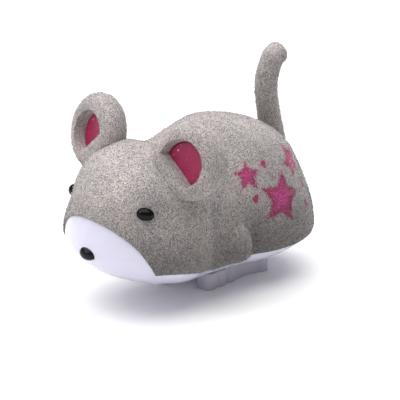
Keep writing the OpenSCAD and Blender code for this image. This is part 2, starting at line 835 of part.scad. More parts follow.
module star_wheel() {
  step = 360 / star_teeth;
  teeth = [for (i = [0:star_teeth - 1])
    let(a = star_tooth_phase() + step * i)
    each [polar(star_root_r, a - step * 0.34), polar(star_tip_r, a - 1.2),
      polar(star_tip_r, a + 1.2), polar(star_root_r, a + step * 0.34)]];
  color(brass) difference() {
    union() {
      along_x(star_x) translate(star_at) polygon(teeth);
      gear_at(star_at, pinion_teeth, star_phase, [-plate_in + 0.15, star_x[0]]);
    }
    rod_x(star_at, pin_r + run_gap, [-plate_in, plate_in]);
  }
}

module star_wheel_pin() {
  color(steel) rod_x(star_at, pin_r, [-plate_out, plate_out]);
}

module pallet() {
  ends = [for (s = [-1, 1]) star_at + polar(pallet_gauge, pallet_dir + s * pallet_half_span)];
  color(brass) difference() {
    union() {
      rod_x(pallet_at, 1, [star_x[1] + 0.1, star_x[1] + 0.9]);
      for (e = ends) {
        ahead = (e - pallet_at) / norm(e - pallet_at);
        wide = 0.35 * [-ahead[1], ahead[0]];
        along_x([star_x[1] + 0.1, star_x[1] + 0.6])
          polygon([pallet_at - wide, pallet_at + wide, e + wide, e - wide]);
        rod_x(e, pallet_pin_r, [star_x[0], star_x[1] + 0.1]);
      }
      along_x([star_x[1] + 0.1, star_x[1] + 0.9]) translate(pallet_at)
        polygon([polar(0.6, pallet_dir - 90), polar(2.1, pallet_dir - 25),
          polar(2.1, pallet_dir + 25), polar(0.6, pallet_dir + 90)]);
    }
    rod_x(pallet_at, pin_r + run_gap, [-plate_in, plate_in]);
  }
}

module pallet_pin() {
  color(steel) rod_x(pallet_at, pin_r, [-plate_out, plate_out]);
}

base_tray();
upper_shell();
left_ear();
right_ear();
left_ear_lining();
right_ear_lining();
tail();
left_eye();
right_eye();
nose();
movement_frame();
movement_cover();
movement_screws();
mounting_screws();
case_screws();
mainspring();
winding_arbor();
winding_knob();
ratchet_wheel();
click();
main_gear();
second_gear();
second_gear_pin();
crank_axle();
crank_pinion();
left_crank();
right_crank();
left_foot();
right_foot();
star_wheel();
star_wheel_pin();
pallet();
pallet_pin();
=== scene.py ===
import math

import bmesh
import bpy
import numpy as np
from mathutils import Matrix, Vector


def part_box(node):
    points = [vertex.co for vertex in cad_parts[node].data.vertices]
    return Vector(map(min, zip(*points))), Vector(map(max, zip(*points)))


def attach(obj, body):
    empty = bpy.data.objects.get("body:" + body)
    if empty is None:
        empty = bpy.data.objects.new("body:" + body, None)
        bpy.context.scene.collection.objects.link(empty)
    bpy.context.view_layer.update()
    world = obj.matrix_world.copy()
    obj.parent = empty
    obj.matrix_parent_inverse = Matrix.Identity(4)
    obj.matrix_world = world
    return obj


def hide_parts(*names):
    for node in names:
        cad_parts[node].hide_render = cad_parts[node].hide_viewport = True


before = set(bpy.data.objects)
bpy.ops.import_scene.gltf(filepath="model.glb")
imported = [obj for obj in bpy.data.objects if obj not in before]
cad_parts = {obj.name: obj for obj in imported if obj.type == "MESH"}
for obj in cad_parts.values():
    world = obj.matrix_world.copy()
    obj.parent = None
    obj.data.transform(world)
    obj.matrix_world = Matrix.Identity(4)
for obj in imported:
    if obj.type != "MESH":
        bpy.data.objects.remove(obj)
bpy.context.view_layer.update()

MM = 0.001

# ---- Body surface, as in the CAD part, in millimetres ------------------------
BODY_LEN, NOSE_REACH, BODY_W, BODY_TOP = 47.5, 25.3, 26.6, 28.2
MUZZLE_Z, MUZZLE_HALF, ARCH_BEND = 17.2, 29.0, 1.15
SHELL_WALL, TRAY_WALL, FLOCK = 1.2, 1.0, 0.3
FIT = 0.02
HALF_W = BODY_W / 2
STRAIGHT = BODY_LEN / 2 - HALF_W
MID_Y = BODY_LEN / 2 - NOSE_REACH
LOW_Z, NECK_Y, PAW_Y = 2.3, -7.5, -2.2
BELLY_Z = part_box("base_tray")[0][2] / MM
FLOOR_Z = BELLY_Z + TRAY_WALL
SEAM_Z = BELLY_Z + 1.9


def bell(u, w):
    return np.exp(-((u / w) ** 2))


def with_paw(points):
    """The forepaw and the crease behind it, raised on both flanks."""
    x, y, z = points[..., 0], points[..., 1] - PAW_Y, points[..., 2]
    q = (y / 2.7) ** 2 + (np.maximum(z - 9.4, 0) / 3.9) ** 2
    dome = np.sqrt(np.clip(1 - q, 0, 1)) * np.clip((z - SEAM_Z) / 1.2, 0, 1)
    crease = bell(y - 3.6, 1.1) * bell(z - 9.6, 3.4)
    out = np.where(np.abs(x) > 5, np.sign(x), 0) * (1.15 * dome - 0.75 * crease)
    return np.stack([x + out, points[..., 1], z], -1)


def fullness(s):
    return 1.98 + 0.56 * s * s - 0.12 * s * np.abs(s)


def relief(y, z):
    """How far the flank stands out at a place."""
    return (
        -1.9 * bell(y - PAW_Y, 7) * bell(z - 10, 12)
        - 0.9 * bell(y - NECK_Y, 2.2) * bell(z - 13, 8)
        + 1.5 * bell(y - PAW_Y, 2.2) * bell(z - 9, 3.5)
        - 0.7 * bell(y - PAW_Y - 5.2, 1.6) * bell(z - 9, 5)
        - 3.05 * bell(y - 5.6 + NOSE_REACH, 5.6) * bell(z - 18.2, 3.5)
        - 2.8 * bell(y + 4.6, 4.9) * bell(z - BODY_TOP + 2.8, 6.2)
        - 4.2 * bell(y - BODY_LEN + NOSE_REACH + 4.2, 6.2) * bell(z - BODY_TOP + 10.2, 5.4)
    )


def skin(heading, rise, d=0.0):
    """Places on the surface at depth d, from headings and rises in degrees."""
    h, r = np.radians(np.asarray(heading, float)), np.radians(np.asarray(rise, float))
    c, s, a = np.abs(np.cos(h)), np.abs(np.sin(h)), HALF_W - d
    round_end = STRAIGHT * s + np.sqrt(np.maximum(a * a - (STRAIGHT * c) ** 2, 0))
    plan = np.where(a * s <= STRAIGHT * c, a / np.maximum(c, 1e-9), round_end)
    sh = np.sin(h)
    power, wide = 2 / fullness(sh), 10.2 - 2.1 * sh
    cr, sr = np.maximum(np.cos(r), 0), np.maximum(np.sin(r), 0)
    reach = plan * np.where(r >= 0, cr**power, cr)
    top, low = BODY_TOP - d - wide, wide - LOW_Z - d
    z = wide + np.where(r >= 0, top * sr**power, low * np.sin(r))
    y = MID_Y + reach * sh
    x = reach * np.cos(h) + np.cos(h) * cr * relief(y, z)
    return np.stack([x, y, z - 2.7 * bell(y - NECK_Y, 3.7) * sr**2], -1)


def facing(heading, rise, step=0.5):
    """Which way the surface looks at a heading and a rise."""
    across = skin(heading + step, rise) - skin(heading - step, rise)
    upward = skin(heading, rise + step) - skin(heading, rise - step)
    return np.cross(across, upward)


def rise_at(heading, z, d):
    """The rise at which a column of the surface reaches height z."""
    s = np.sin(np.radians(heading))
    wide = 10.2 - 2.1 * s
    over = np.clip((z - wide) / (BODY_TOP - d - wide), 0, 1)
    under = np.clip((wide - z) / (wide - LOW_Z - d), 0, 1)
    return np.degrees(np.where(z >= wide, np.arcsin(over ** (fullness(s) / 2)), -np.arcsin(under)))


def seam_at(heading):
    lift = 2 * bell(heading + 57, 20) - 0.5 * bell(heading + 20, 10)
    return SEAM_Z + lift + 0.6 * bell(heading - 60, 45)


ARCH_END = -90 + MUZZLE_HALF


def seam_columns(arch, flank):
    """Headings and seam heights: an arch over the muzzle, then the flanks."""
    a = np.radians(-90 + 180 * np.arange(arch) / arch)
    low = seam_at(np.array(ARCH_END))
    over = low + (MUZZLE_Z - low) * np.maximum(np.cos(a), 0) ** ARCH_BEND
    h = ARCH_END + (180 - 2 * ARCH_END) * np.arange(flank) / flank
    level = seam_at(np.where(h > 90, 180 - h, h))
    return (
        np.concatenate([-90 + MUZZLE_HALF * np.sin(a), h]),
        np.concatenate([over, level]),
    )


def box_centre(node):
    """The middle of a CAD node's box, in millimetres."""
    low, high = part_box(node)
    return (np.array(low) + np.array(high)) / 2 / MM


# ---- Mesh helpers -------------------------------------------------------------
def new_object(name, vertices, faces, smooth=True, crease=None):
    """A mesh object from places in millimetres."""
    mesh = bpy.data.meshes.new(name)
    mesh.from_pydata((np.asarray(vertices, float) * MM).tolist(), [], faces)
    mesh.validate()
    mesh.polygons.foreach_set("use_smooth", [smooth] * len(mesh.polygons))
    if crease:
        mesh.set_sharp_from_angle(angle=math.radians(crease))
    obj = bpy.data.objects.new(name, mesh)
    bpy.context.scene.collection.objects.link(obj)
    return obj


def ring_faces(rings, count, closed=True):
    """Quads between rings of count places each."""
    i = np.arange(count if closed else count - 1)
    k = (i + 1) % count
    faces = []
    for j in range(rings - 1):
        a, b = j * count, (j + 1) * count
        faces += np.stack([a + i, a + k, b + k, b + i], 1).tolist()
    return faces


def lathe(profile, around, name, place=None, crease=None):
    """Turns a profile of (radius, height) pairs, both ends on the axis, round its height."""
    profile = np.asarray(profile, float)
    t = 2 * np.pi * np.arange(around) / around
    body = profile[1:-1]
    r, h = body[:, 0][:, None], body[:, 1][:, None]
    ring = np.stack([r * np.cos(t), r * np.sin(t), h + 0 * t], -1).reshape(-1, 3)
    points = np.concatenate([ring, [[0, 0, profile[0][1]], [0, 0, profile[-1][1]]]])
    faces = ring_faces(len(body), around)
    first, last, base = len(ring), len(ring) + 1, (len(body) - 1) * around
    for i in range(around):
        k = (i + 1) % around
        faces += [(k, i, first), (base + i, base + k, last)]
    if place is not None:
        points = place(points)
    obj = new_object(name, points, faces, crease=crease)
    outward(obj)
    return obj


def outward(obj):
    """Turns every face of a closed mesh outward."""
    bm = bmesh.new()
    bm.from_mesh(obj.data)
    bmesh.ops.recalc_face_normals(bm, faces=bm.faces)
    bm.to_mesh(obj.data)
    bm.free()


def applied(obj):
    """Applies an object's modifiers."""
    graph = bpy.context.evaluated_depsgraph_get()
    mesh = bpy.data.meshes.new_from_object(obj.evaluated_get(graph))
    mesh.name = obj.name
    obj.modifiers.clear()
    obj.data = mesh


def cut(obj, cutters):
    """Takes the cutters away from a mesh."""
    for cutter in cutters:
        m = obj.modifiers.new("cut", "BOOLEAN")
        m.operation, m.solver, m.object = "DIFFERENCE", "EXACT", cutter
    applied(obj)
    for cutter in cutters:
        bpy.data.objects.remove(cutter)


def bevelled(obj, width, segments=3, angle=30):
    m = obj.modifiers.new("edge", "BEVEL")
    m.width, m.segments, m.limit_method = width * MM, segments, "ANGLE"
    m.angle_limit = math.radians(angle)
    applied(obj)
    obj.data.polygons.foreach_set("use_smooth", [True] * len(obj.data.polygons))
    obj.data.set_sharp_from_angle(angle=math.radians(40))


def prism(outline, low, high, axis, name):
    """A flat outline made solid from low to high along an axis: "x" takes (Y, Z) outlines, "z" (X, Y)."""
    flat = np.asarray(outline, float)
    n = len(flat)
    rings = []
    for level in (low, high):
        w = np.full((n, 1), float(level))
        rings.append(np.hstack([w, flat]) if axis == "x" else np.hstack([flat, w]))
    faces = ring_faces(2, n) + [tuple(range(n)), tuple(range(n, 2 * n))]
    obj = new_object(name, np.concatenate(rings), faces, smooth=False)
    outward(obj)
    return obj


def disc(at, r, low, high, axis, name, around=48):
    t = 2 * np.pi * np.arange(around) / around
    outline = np.stack([at[0] + r * np.cos(t), at[1] + r * np.sin(t)], 1)
    return prism(outline, low, high, axis, name)


def joined(name, objects):
    """One object from several closed ones."""
    bm = bmesh.new()
    for o in objects:
        bm.from_mesh(o.data)
        bpy.data.objects.remove(o)
    mesh = bpy.data.meshes.new(name)
    bm.to_mesh(mesh)
    bm.free()
    obj = bpy.data.objects.new(name, mesh)
    bpy.context.scene.collection.objects.link(obj)
    return obj


def arc(centre, r, start, end, steps):
    t = np.radians(np.linspace(start, end, steps + 1))
    return np.stack([centre[0] + r * np.cos(t), centre[1] + r * np.sin(t)], 1).tolist()


# ---- Materials ----------------------------------------------------------------
def linear(r, g, b):
    def one(v):
        v /= 255
        return v / 12.92 if v <= 0.04045 else ((v + 0.055) / 1.055) ** 2.4

    return (one(r), one(g), one(b), 1.0)


class Shader:
    """A material made of nodes, with short names for the common ones."""

    def __init__(self, name, **sockets):
        self.material = bpy.data.materials.new(name)
        self.material.use_nodes = True
        self.tree = self.material.node_tree
        self.tree.nodes.clear()
        out = self.tree.nodes.new("ShaderNodeOutputMaterial")
        self.surface = self.tree.nodes.new("ShaderNodeBsdfPrincipled")
        self.tree.links.new(self.surface.outputs[0], out.inputs[0])
        self.place = self.tree.nodes.new("ShaderNodeTexCoord").outputs["Object"]
        for key, value in sockets.items():
            self.put(self.surface.inputs[key.replace("_", " ")], value)

    def put(self, socket, value):
        if isinstance(value, bpy.types.NodeSocket):
            self.tree.links.new(value, socket)
        else:
            socket.default_value = value

    def node(self, kind, values, output=0, **settings):
        n = self.tree.nodes.new(kind)
        for key, value in settings.items():
            setattr(n, key, value)
        for key, value in values.items():
            self.put(n.inputs[key], value)
        return n.outputs[output]

    def math(self, operation, *values, clamp=False):
        return self.node(
            "ShaderNodeMath", dict(enumerate(values)), operation=operation, use_clamp=clamp
        )

    def vector(self, operation, *values, output=0):
        return self.node(
            "ShaderNodeVectorMath", dict(enumerate(values)), output, operation=operation
        )

    def noise(self, size, detail=2.0, roughness=0.5, place=None, output=0):
        """Noise with grains of that size in millimetres."""
        values = {
            "Vector": place or self.place,
            "Scale": 1 / (size * MM),
            "Detail": detail,
            "Roughness": roughness,
        }
        return self.node("ShaderNodeTexNoise", values, output)

    def range(self, value, low, high, to_low=0.0, to_high=1.0, smooth=False):
        values = {"Value": value, 1: low, 2: high, 3: to_low, 4: to_high}
        kind = "SMOOTHSTEP" if smooth else "LINEAR"
        return self.node("ShaderNodeMapRange", values, interpolation_type=kind)

    def mix(self, factor, a, b, blend="MIX"):
        n = self.tree.nodes.new("ShaderNodeMix")
        n.data_type, n.blend_type = "RGBA", blend
        for key, value in ((0, factor), (6, a), (7, b)):
            self.put(n.inputs[key], value)
        return n.outputs[2]

    def bump(self, height, strength, depth, normal=None):
        values = {"Height": height, "Strength": strength, "Distance": depth * MM}
        if normal is not None:
            values["Normal"] = normal
        return self.node("ShaderNodeBump", values)

    def set(self, **sockets):
        for key, value in sockets.items():
            self.put(self.surface.inputs[key.replace("_", " ")], value)


def star_height(s, place, heading, rise, r, turn):
    """How far inside a star print, or a round dot without a turn, a place lies, in metres."""
    centre = skin(heading, rise)
    n = Vector(facing(heading, rise)).normalized()
    across = Vector((0, 0, 1)).cross(n).normalized()
    up = n.cross(across)
    d = s.vector("SUBTRACT", place, tuple(c * MM for c in centre))
    u = s.vector("DOT_PRODUCT", d, tuple(across), output=1)
    v = s.vector("DOT_PRODUCT", d, tuple(up), output=1)
    w = s.math("ABSOLUTE", s.vector("DOT_PRODUCT", d, tuple(n), output=1))
    reach = s.math("SQRT", s.math("ADD", s.math("MULTIPLY", u, u), s.math("MULTIPLY", v, v)))
    if turn is None:
        inside = s.math("SUBTRACT", r * MM, reach)
    else:
        angle = s.math("SUBTRACT", s.math("ARCTAN2", v, u), math.radians(turn))
        folded = s.math("PINGPONG", angle, math.pi / 5)
        tip = Vector((r, 0))
        valley = 0.52 * r * Vector((math.cos(math.pi / 5), math.sin(math.pi / 5)))
        edge = (valley - tip).normalized()
        out = Vector((edge.y, -edge.x))
        c = tip.dot(out) * MM
        along = s.math("MULTIPLY", s.math("COSINE", folded), out.x)
        side = s.math("MULTIPLY", s.math("SINE", folded), out.y)
        inside = s.math("SUBTRACT", c, s.math("MULTIPLY", reach, s.math("ADD", along, side)))
    # only the skin near the print takes it
    return s.math("SUBTRACT", inside, s.math("MAXIMUM", s.math("SUBTRACT", w, 2.6 * MM), 0.0))


# Heading and rise of each print's middle, its radius and how far it is turned; a dot has no turn
STARS = [
    (35.75, 19.25, 4.6, 76),
    (15.75, 35.25, 2.6, 87),
    (55, 34, 3.5, 100),
    (33, 40.25, 0.68, None),
    (17, 22.25, 0.7, None),
    (58.75, 18.75, 0.85, None),
    (53.5, 10.5, 0.65, None),
]


def flock_material(name, prints):
    """Short grey flock with painted shade, darker towards the bottom and on steep faces and lighter on faces
    turned up, and with the magenta star prints on both haunches where asked.
    """
    s = Shader(name, Roughness=0.95, Sheen_Weight=0.35, Sheen_Roughness=0.45)
    s.set(**{"Specular_IOR_Level": 0.12})
    fleck = s.noise(0.2, 2.0, 0.7)
    clump = s.noise(0.75, 3.0, 0.6)
    cloud = s.noise(7.0, 2.0, 0.5)
    grain_and_painted_shade = s.math("MULTIPLY", s.range(fleck, 0.32, 0.68, 0.36, 1.62), s.range(clump, 0.3, 0.7, 0.94, 1.06))
    grain_and_painted_shade = s.math("MULTIPLY", grain_and_painted_shade, s.range(cloud, 0.3, 0.7, 0.93, 1.07))
    height = s.node("ShaderNodeSeparateXYZ", {0: s.place}, 2)
    facing = s.node("ShaderNodeSeparateXYZ", {0: s.node("ShaderNodeNewGeometry", {}, 1)}, 2)
    # painted shade: the flock is made darker towards the bottom and on steep or downward faces, and lighter
    # on faces turned up, in place of light falling from above
    grain_and_painted_shade = s.math("MULTIPLY", grain_and_painted_shade, s.range(height, 6 * MM, 23 * MM, 0.5, 1.04, smooth=True))
    grain_and_painted_shade = s.math("MULTIPLY", grain_and_painted_shade, s.range(facing, -0.1, 0.8, 0.8, 1.12))
    grey = s.mix(s.range(cloud, 0.35, 0.65), linear(156, 150, 149), linear(163, 155, 153))
    if prints:
        x, y, z = [
            s.node("ShaderNodeSeparateXYZ", {0: s.place}, i) for i in range(3)
        ]
        folded = s.node("ShaderNodeCombineXYZ", {0: s.math("ABSOLUTE", x), 1: y, 2: z})
        wander = s.math("MULTIPLY", s.math("SUBTRACT", s.noise(0.6, 3.0, 0.7), 0.5), 1.5 * MM)
        inside = None
        for heading, rise, r, turn in STARS:
            h = star_height(s, folded, heading, rise, r, turn)
            inside = h if inside is None else s.math("MAXIMUM", inside, h)
        mask = s.range(s.math("ADD", inside, wander), -0.3 * MM, 0.35 * MM, smooth=True)
        mask = s.math("MULTIPLY", mask, s.range(fleck, 0.3, 0.75, 1.0, 0.72))
        heart = s.range(inside, 0.35 * MM, 1.6 * MM, smooth=True)
        pink = s.mix(heart, linear(150, 18, 84), linear(190, 44, 128))
        grey = s.mix(mask, grey, pink)
    colour = s.vector("SCALE", grey)
    s.put(colour.node.inputs["Scale"], grain_and_painted_shade)
    pile = s.bump(s.noise(0.22, 2.0, 0.6), 0.35, 0.1)
    s.set(Base_Color=colour, Normal=pile)
    return s.material


def moulded(name, colour, roughness, grain=0.35, coat=0.0, subsurface=0.0):
    """Moulded plastic: faint flow marks, a fine grain and small wear in the gloss."""
    s = Shader(name, Coat_Weight=coat, Coat_Roughness=0.08)
    flow, fine = s.noise(6.0, 3.0), s.noise(0.5, 3.0, 0.6)
    tone = s.range(flow, 0.3, 0.7, 0.96, 1.03)
    colour_out = s.vector("SCALE", colour[:3])
    s.put(colour_out.node.inputs["Scale"], tone)
    s.set(Base_Color=colour_out, Roughness=s.range(fine, 0.3, 0.7, roughness * 0.8, roughness * 1.25))
    if subsurface:
        s.set(Subsurface_Weight=subsurface, Subsurface_Scale=0.6 * MM, Subsurface_Radius=(1.0, 0.9, 0.9))
    s.set(Normal=s.bump(fine, grain * 0.3, 0.03))
    return s.material


def metal(name, colour, roughness, scratch=8.0):
    """Drawn or stamped metal with fine scratches round it."""
    s = Shader(name, Metallic=1.0)
    stretched = s.vector("MULTIPLY", s.place, (scratch, 1.0, 1.0))
    lines, blot = s.noise(0.6, 4.0, 0.7, stretched), s.noise(2.5, 2.0)
    tone = s.range(blot, 0.3, 0.7, 0.88, 1.05)
    colour_out = s.vector("SCALE", colour[:3])
    s.put(colour_out.node.inputs["Scale"], tone)
    s.set(Base_Color=colour_out, Roughness=s.range(lines, 0.3, 0.7, roughness * 0.7, roughness * 1.4))
    s.set(Normal=s.bump(lines, 0.25, 0.01))
    return s.material


def bead_material(name, colour):
    s = Shader(name, Roughness=0.12, Specular_IOR_Level=0.16)
    dust, wave = s.noise(0.18, 2.0, 0.6), s.noise(1.2, 1.0)
    speck = s.range(dust, 0.72, 0.8)
    s.set(Base_Color=s.mix(s.math("MULTIPLY", speck, 0.25), colour, linear(120, 118, 116)))
    s.set(Normal=s.bump(wave, 0.2, 0.02))
    return s.material


def lacquer_material(name):
    """Glossy magenta ear lining, a little mottled, with a few pale specks of flock."""
    s = Shader(name, Coat_Weight=0.1, Coat_Roughness=0.3)
    mottle, fine = s.noise(1.3, 3.0, 0.6), s.noise(0.22, 2.0, 0.6)
    base = s.mix(s.range(mottle, 0.3, 0.7), linear(136, 3, 58), linear(156, 7, 76))
    lint = s.range(s.noise(0.42, 0.0), 0.79, 0.83)
    s.set(Base_Color=s.mix(lint, base, linear(228, 150, 186)))
    s.set(Roughness=s.range(fine, 0.3, 0.7, 0.4, 0.55), Normal=s.bump(fine, 0.25, 0.03))
    return s.material


flock_body = flock_material("flock_printed", True)
flock_plain = flock_material("flock_plain", False)
white_shell = moulded("white_gloss", linear(204, 202, 220), 0.22, coat=0.5, subsurface=0.12)
foot_plastic = moulded("foot_grey", linear(184, 180, 192), 0.42, grain=0.6)
nylon = moulded("nylon", linear(232, 226, 208), 0.5, subsurface=0.1)
steel = metal("steel", linear(196, 198, 204), 0.28)
spring_steel = metal("spring_steel", linear(104, 112, 136), 0.3, scratch=0.2)
brass = metal("brass", linear(206, 166, 88), 0.3)
black_bead = bead_material("black_bead", linear(5, 4, 5))
nose_bead_material = bead_material("nose_bead", linear(22, 20, 30))
ear_lacquer = lacquer_material("ear_lacquer")


def finish_piece(obj, material, body, slot, *replaced):
    obj.data.materials.clear()
    obj.data.materials.append(material)
    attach(obj, body)
    if replaced:
        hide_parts(*replaced)
    return obj


# ---- Flock pile: short closed fibres standing on a surface ---------------------
# Fibres to a square millimetre, their length, their thickness and how far they lean
PILE = (13.5, 0.32, 0.058, 0.5)


def pile(name, source, per_mm2, length, thick, lean, seed, keep=None):
    """Fibres over a mesh, each a closed three-sided spike, kept where keep says so."""
    rng = np.random.default_rng(seed)
    mesh = source.data
    mesh.calc_loop_triangles()
    points = np.empty(len(mesh.vertices) * 3)
    mesh.vertices.foreach_get("co", points)
    points = points.reshape(-1, 3) / MM
    tris = np.empty(len(mesh.loop_triangles) * 3, int)
    mesh.loop_triangles.foreach_get("vertices", tris)
    a, b, c = (points[tris.reshape(-1, 3)[:, i]] for i in range(3))
    cross = np.cross(b - a, c - a)
    area = np.linalg.norm(cross, axis=1) / 2
    ok = area > 1e-9
    if keep is not None:
        ok &= keep((a + b + c) / 3)
    weight = np.where(ok, area, 0)
    count = int(weight.sum() * per_mm2)
    pick = rng.choice(len(area), count, p=weight / weight.sum())
    r1, r2 = np.sqrt(rng.random(count))[:, None], rng.random(count)[:, None]
    root = (1 - r1) * a[pick] + r1 * (1 - r2) * b[pick] + r1 * r2 * c[pick]
    normal = cross[pick] / np.linalg.norm(cross[pick], axis=1)[:, None]
    way = normal + lean * rng.normal(size=(count, 3))
    way /= np.linalg.norm(way, axis=1)[:, None]
    side = np.cross(way, rng.normal(size=(count, 3)))
    side /= np.linalg.norm(side, axis=1)[:, None]
    other = np.cross(way, side)
    size = (thick * (0.7 + 0.6 * rng.random(count)))[:, None]
    tall = (length * (0.6 + 0.6 * rng.random(count)))[:, None]
    root = root - 0.06 * normal
    corners = [root + size * (math.cos(t) * side + math.sin(t) * other) for t in np.radians([0, 120, 240])]
    vertices = np.stack([*corners, root + tall * way], 1).reshape(-1, 3)
    base = 4 * np.arange(count)[:, None]
    faces = np.concatenate([base + f for f in ([0, 1, 3], [1, 2, 3], [2, 0, 3], [2, 1, 0])], 1)
    return new_object(name, vertices, faces.reshape(-1, 3).tolist(), smooth=True)


# ---- Upper shell ----------------------------------------------------------------
def shell_rings(arch, flank, rows, d):
    """Rings of the surface at depth d from the seam to the back."""
    h, z = seam_columns(arch, flank)
    low = rise_at(h, z + FIT, d)
    t = np.linspace(0, 1, rows)[:, None]
    return skin(np.broadcast_to(h, (rows, len(h))), low + (88.5 - low) * t, d)


def build_shell():
    arch, flank, rows, inner_rows = 120, 360, 140, 24
    outer = with_paw(shell_rings(arch, flank, rows, 0.0))
    inner = shell_rings(arch, flank, inner_rows, SHELL_WALL)
    n = arch + flank
    rings = np.concatenate([outer[::-1], inner])
    points = rings.reshape(-1, 3)
    count = len(rings)
    faces = ring_faces(count, n)
    top, under = skin(0, 90), skin(0, 90, SHELL_WALL)
    points = np.concatenate([points, [top, under]])
    last = (count - 1) * n
    for i in range(n):
        k = (i + 1) % n
        faces += [(k, i, count * n), (last + i, last + k, count * n + 1)]
    obj = new_object("body_flock", points, faces, crease=50)
    outward(obj)
    return obj


shell = build_shell()


# ---- Ears -------------------------------------------------------------------------
def unit(v):
    v = np.asarray(v, float)
    return v / np.linalg.norm(v)


EAR_R, EAR_T, LINING_R, LINING_T, RECESS = 6.4, 5.0, 3.5, 0.6, 2.4
HOLLOW_FOOT, HOLLOW_DROP = 1.4, 0.6
ear_up = unit([6.3, 3.2, 7.3])
ear_side = unit(np.cross(ear_up, [0.3, -0.87, 0.3]))
ear_face = np.cross(ear_side, ear_up)
ear_centre = skin(-52.5, 48.5) - [0, 0, 0.5] + EAR_R * 0.5 * ear_up + 0.3 * ear_face
EAR_FOOT = -(EAR_R * 0.5 + 1.25)


def on_ear(mirror):
    def place(points):
        p = ear_centre + points @ np.stack([ear_side, ear_up, ear_face])
        return p * [mirror, 1, 1]

    return place


def ear_profile():
    """A plump rim round a front that dishes gently to its middle."""
    rim = EAR_T / 2
    back = [[r, -rim] for r in np.linspace(0, EAR_R - rim, 10)[:-1]]
    turn = np.radians(np.linspace(-90, 78, 40))
    round_rim = [[EAR_R - rim + rim * math.cos(t), rim * math.sin(t)] for t in turn]
    edge = round_rim[-1]
    front = [[edge[0] * (1 - u), edge[1] - 0.24 * u * u] for u in np.linspace(0, 1, 14)[1:]]
    return back + round_rim + front


def hollow_outline(r, foot, steps=64):
    """A round with its foot cut straight."""
    a = math.degrees(math.asin(foot / r))
    return arc((0, 0), r, -a, 180 + a, steps)


def cut_flat(obj, v):
    """Cuts away what lies below a height and closes the cut."""
    bm = bmesh.new()
    bm.from_mesh(obj.data)
    geometry = bm.verts[:] + bm.edges[:] + bm.faces[:]
    bmesh.ops.bisect_plane(bm, geom=geometry, plane_co=(0, v * MM, 0), plane_no=(0, -1, 0), clear_outer=True)
    bmesh.ops.holes_fill(bm, edges=[e for e in bm.edges if e.is_boundary])
    bm.to_mesh(obj.data)
    bm.free()


def move_vertices(obj, place):
    points = np.empty(len(obj.data.vertices) * 3)
    obj.data.vertices.foreach_get("co", points)
    moved = place(points.reshape(-1, 3) / MM) * MM
    obj.data.vertices.foreach_set("co", moved.ravel())
    obj.data.update()
    outward(obj)


def build_ear(side, mirror):
    ear = lathe(ear_profile(), 144, f"ear_flock_{side}")
    cut_flat(ear, EAR_FOOT)
    # the hollow widens towards the front
    floor, mouth = EAR_T / 2 - RECESS, EAR_T / 2 + 0.5
    rings = []
    for level, grow in ((floor, FIT), (floor + 0.9, 0.1), (floor + 1.5, 0.3), (mouth, 0.7)):
        outline = np.array(hollow_outline(LINING_R + grow, HOLLOW_FOOT + grow * 0.8))
        rings.append(np.hstack([outline, np.full((len(outline), 1), level)]))
    n = len(rings[0])
    faces = ring_faces(len(rings), n) + [tuple(range(n)), tuple(range(3 * n, 4 * n))]
    hollow = new_object("hollow", np.concatenate(rings), faces)
    hollow.data.transform(Matrix.Translation((0, -HOLLOW_DROP * MM, 0)))
    outward(hollow)
    cut(ear, [hollow])
    move_vertices(ear, on_ear(mirror))
    ear.data.polygons.foreach_set("use_smooth", [True] * len(ear.data.polygons))
    ear.data.set_sharp_from_angle(angle=math.radians(40))
    return ear


def lining_profile():
    dish = [[r, LINING_T - 0.16 * (1 - (r / LINING_R) ** 2)] for r in np.linspace(LINING_R - 0.12, 0, 10)]
    return [[0, 0], [LINING_R, 0], [LINING_R, LINING_T - 0.1]] + dish


def build_lining(side, mirror):
    lining = lathe(lining_profile(), 96, f"ear_lining_{side}")
    cut_flat(lining, -HOLLOW_FOOT)
    move_vertices(lining, lambda p: on_ear(mirror)(p + [0, -HOLLOW_DROP, EAR_T / 2 - RECESS]))
    lining.data.set_sharp_from_angle(angle=math.radians(50))
    return lining


# ---- Tail ---------------------------------------------------------------------------
TAIL_ROOT_R, TAIL_R = 2.35, 1.9
tail_at = skin(90, 41)


def tail_line():
    rise = BODY_TOP + 7.7 - tail_at[2]
    steps = [(0.6, -3), (0.1, 1), (-1, 0.58 * rise), (0.3, 0.9 * rise), (2.6, rise)]
    return np.array([[0, tail_at[1] + a, tail_at[2] + b] for a, b in steps])


def through(line, u):
    """A smooth curve through the places of a line, at u from 0 to 1."""
    last = len(line) - 1
    at = max(0, min(math.floor(u * last), last - 1))
    t = u * last - at
    a, b, c, d = line[max(at - 1, 0)], line[at], line[at + 1], line[min(at + 2, last)]
    return 0.5 * (
        2 * b + (c - a) * t + (2 * a - 5 * b + 4 * c - d) * t**2 + (3 * b - a - 3 * c + d) * t**3
    )


def build_tail():
    line, rings, around = tail_line(), 110, 64
    t = 2 * np.pi * np.arange(around) / around
    sections = []
    for i in range(rings + 1):
        u = i / rings
        ahead = unit(through(line, min(u + 0.01, 1)) - through(line, min(u + 0.01, 1) - 0.02))
        up = np.cross(ahead, [1, 0, 0])
        root = min(1, max(0, 1 - u / 0.35) * 1.4)
        tip = math.sqrt(max(0.0, 1 - max(0, (u - 0.9) / 0.1) ** 2))
        r = (TAIL_R + (TAIL_ROOT_R - TAIL_R) * root) * max(tip, 0.04)
        ring = through(line, u) + r * (np.cos(t)[:, None] * [1, 0, 0] + np.sin(t)[:, None] * up)
        sections.append(ring)
    points = np.concatenate([*sections, [sections[0].mean(0), sections[-1].mean(0)]])
    faces = ring_faces(rings + 1, around)
    base = rings * around
    for i in range(around):
        k = (i + 1) % around
        faces += [(k, i, len(points) - 2), (base + i, base + k, len(points) - 1)]
    obj = new_object("tail_flock", points, faces, crease=60)
    outward(obj)
    return obj


# ---- Face beads -------------------------------------------------------------------------
EYE_LONG, EYE_R, EYE_TURN, EYE_TILT = 1.5, 1.05, 36, 10
NOSE_LONG, NOSE_R = 1.65, 1.15


